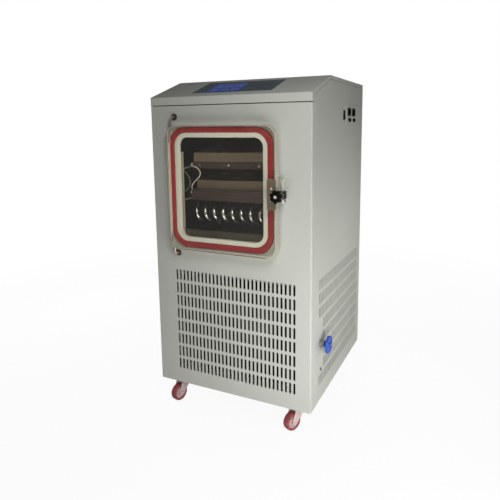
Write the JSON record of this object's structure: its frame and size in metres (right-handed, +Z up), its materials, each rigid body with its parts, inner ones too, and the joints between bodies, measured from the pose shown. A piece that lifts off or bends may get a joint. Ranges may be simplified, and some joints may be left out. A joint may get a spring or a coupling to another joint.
{
  "type": "freeze dryer",
  "caption": "Floor-standing freeze dryer on casters: grey cabinet with a thick clear hinged door, shelves and trays in a steel chamber, sloped control face, slotted lower front",
  "frame": {"origin": "centre of the bounding box's footprint, at floor level", "axes": "+X to the right as seen from the front, +Y from the door to the back, +Z up"},
  "size_m": [0.638, 0.7248, 1.2003],
  "materials": {
    "cabinet_paint": "warm light-grey powder coat, fine satin grain",
    "zinc_steel": "zinc-plated steel, slightly dull",
    "control_film": "dark film with a satin face",
    "display_glass": "smooth glass over a lit display",
    "dark_plastic": "black moulded plastic",
    "stainless": "brushed stainless steel",
    "polished_stainless": "polished stainless steel",
    "seal_rubber": "red silicone seal",
    "clear_acrylic": "thick clear acrylic with polished edges",
    "bright_rod": "bright rod",
    "dark_steel": "darkened steel",
    "white_silicone": "white silicone sheath",
    "grey_silicone": "grey silicone sheath",
    "connector_steel": "satin metal plate",
    "valve_metal": "plated metal",
    "handwheel_blue": "blue enamel",
    "caster_red": "red moulded wheel",
    "radiator_dark": "dark finned block",
    "compressor_black": "black enamel",
    "copper_pipe": "dull copper pipe"
  },
  "bodies": {
    "cabinet": {"front_panel": "cabinet_paint", "side_panel_left": "cabinet_paint", "side_panel_right": "cabinet_paint", "back_panel": "cabinet_paint", "top_cover": "cabinet_paint", "base_pan": "zinc_steel", "cabinet_posts": "zinc_steel", "chamber_beams": "zinc_steel", "caster_plates": "zinc_steel", "rod_fixings": "zinc_steel", "fan_shroud": "zinc_steel", "control_overlay": "control_film", "display_window": "display_glass", "controller_housing": "dark_plastic", "power_sockets": "dark_plastic", "fuse_holders": "dark_plastic", "main_switch_frame": "dark_plastic", "chamber_shell": "stainless", "upper_shelf": "stainless", "lower_shelf": "stainless", "shelf_rack": "stainless", "drip_tray": "stainless", "chamber_flange": "polished_stainless", "upper_tray": "polished_stainless", "lower_tray": "polished_stainless", "condenser_coil": "polished_stainless", "shelf_screws": "polished_stainless", "vacuum_port": "polished_stainless", "keeper_block": "polished_stainless", "door_gasket": "seal_rubber", "keeper_rod": "bright_rod", "hinge_rod_upper": "dark_steel", "hinge_rod_lower": "dark_steel", "shelf_lead": "white_silicone", "lead_terminals": "white_silicone", "wall_lead": "grey_silicone", "connector_plate": "connector_steel", "drain_valve": "valve_metal", "radiator": "radiator_dark", "compressor": "compressor_black", "fan_motor": "compressor_black", "suction_pipe": "copper_pipe", "drain_pipes": "copper_pipe"},
    "door": {"door": "clear_acrylic", "latch_plate": "dark_steel", "latch_screws": "polished_stainless"},
    "latch_stud": {"latch_stud": "polished_stainless"},
    "latch_knob": {"latch_knob": "dark_plastic"},
    "drain_handwheel": {"drain_valve_stem": "valve_metal", "drain_handwheel": "handwheel_blue"},
    "switch_rocker": {"main_switch_rocker": "dark_plastic"},
    "fan": {"fan_blades": "dark_plastic"},
    "caster_swivel_front_left": {"caster_fork_front_left": "zinc_steel"},
    "caster_wheel_front_left": {"caster_wheel_front_left": "caster_red"},
    "caster_swivel_front_right": {"caster_fork_front_right": "zinc_steel"},
    "caster_wheel_front_right": {"caster_wheel_front_right": "caster_red"},
    "caster_swivel_rear_left": {"caster_fork_rear_left": "zinc_steel"},
    "caster_wheel_rear_left": {"caster_wheel_rear_left": "caster_red"},
    "caster_swivel_rear_right": {"caster_fork_rear_right": "zinc_steel"},
    "caster_wheel_rear_right": {"caster_wheel_rear_right": "caster_red"}
  },
  "joints": [
    {"name": "door_swing", "type": "hinge", "parent": "cabinet", "child": "door", "pos_m": [-0.2215, -0.3109, 0.8273], "axis": [0, 0, -1], "range_deg": [0, 165]},
    {"name": "stud_travel", "type": "slide", "parent": "door", "child": "latch_stud", "axis": [0, -1, 0], "range_m": [0, 0.012]},
    {"name": "knob_turn", "type": "hinge", "parent": "latch_stud", "child": "latch_knob", "pos_m": [0.189, -0.3489, 0.821], "axis": [0, -1, 0], "range_deg": [0, 2881]},
    {"name": "valve_turn", "type": "hinge", "parent": "cabinet", "child": "drain_handwheel", "pos_m": [0.281, -0.1906, 0.298], "axis": [1, 0, 0], "range_deg": [0, 1080]},
    {"name": "switch_rock", "type": "hinge", "parent": "cabinet", "child": "switch_rocker", "pos_m": [0.279, 0.0574, 1.073], "axis": [0, 1, 0], "range_deg": [0, 20]},
    {"name": "fan_spin", "type": "hinge", "parent": "cabinet", "child": "fan", "pos_m": [-0.019, -0.1936, 0.322], "axis": [0, 1, 0], "continuous": true},
    {"name": "caster_turn_front_left", "type": "hinge", "parent": "cabinet", "child": "caster_swivel_front_left", "pos_m": [-0.254, -0.2396, 0.08], "axis": [0, 0, 1], "continuous": true},
    {"name": "wheel_spin_front_left", "type": "hinge", "parent": "caster_swivel_front_left", "child": "caster_wheel_front_left", "pos_m": [-0.25985, -0.26493, 0.0315], "axis": [0.9744, -0.225, 0], "continuous": true},
    {"name": "caster_turn_front_right", "type": "hinge", "parent": "cabinet", "child": "caster_swivel_front_right", "pos_m": [0.216, -0.2396, 0.08], "axis": [0, 0, 1], "continuous": true},
    {"name": "wheel_spin_front_right", "type": "hinge", "parent": "caster_swivel_front_right", "child": "caster_wheel_front_right", "pos_m": [0.2046, -0.26297, 0.0315], "axis": [0.8988, -0.4384, 0], "continuous": true},
    {"name": "caster_turn_rear_left", "type": "hinge", "parent": "cabinet", "child": "caster_swivel_rear_left", "pos_m": [-0.254, 0.2844, 0.08], "axis": [0, 0, 1], "continuous": true},
    {"name": "wheel_spin_rear_left", "type": "hinge", "parent": "caster_swivel_rear_left", "child": "caster_wheel_rear_left", "pos_m": [-0.24597, 0.25967, 0.0315], "axis": [0.9511, 0.309, 0], "continuous": true},
    {"name": "caster_turn_rear_right", "type": "hinge", "parent": "cabinet", "child": "caster_swivel_rear_right", "pos_m": [0.216, 0.2844, 0.08], "axis": [0, 0, 1], "continuous": true},
    {"name": "wheel_spin_rear_right", "type": "hinge", "parent": "caster_swivel_rear_right", "child": "caster_wheel_rear_right", "pos_m": [0.21193, 0.25872, 0.0315], "axis": [0.9877, -0.1564, 0], "continuous": true}
  ],
  "couplings": [
    {"joint": "knob_turn", "follows": "stud_travel", "rad_per_m": 4188.8}
  ]
}
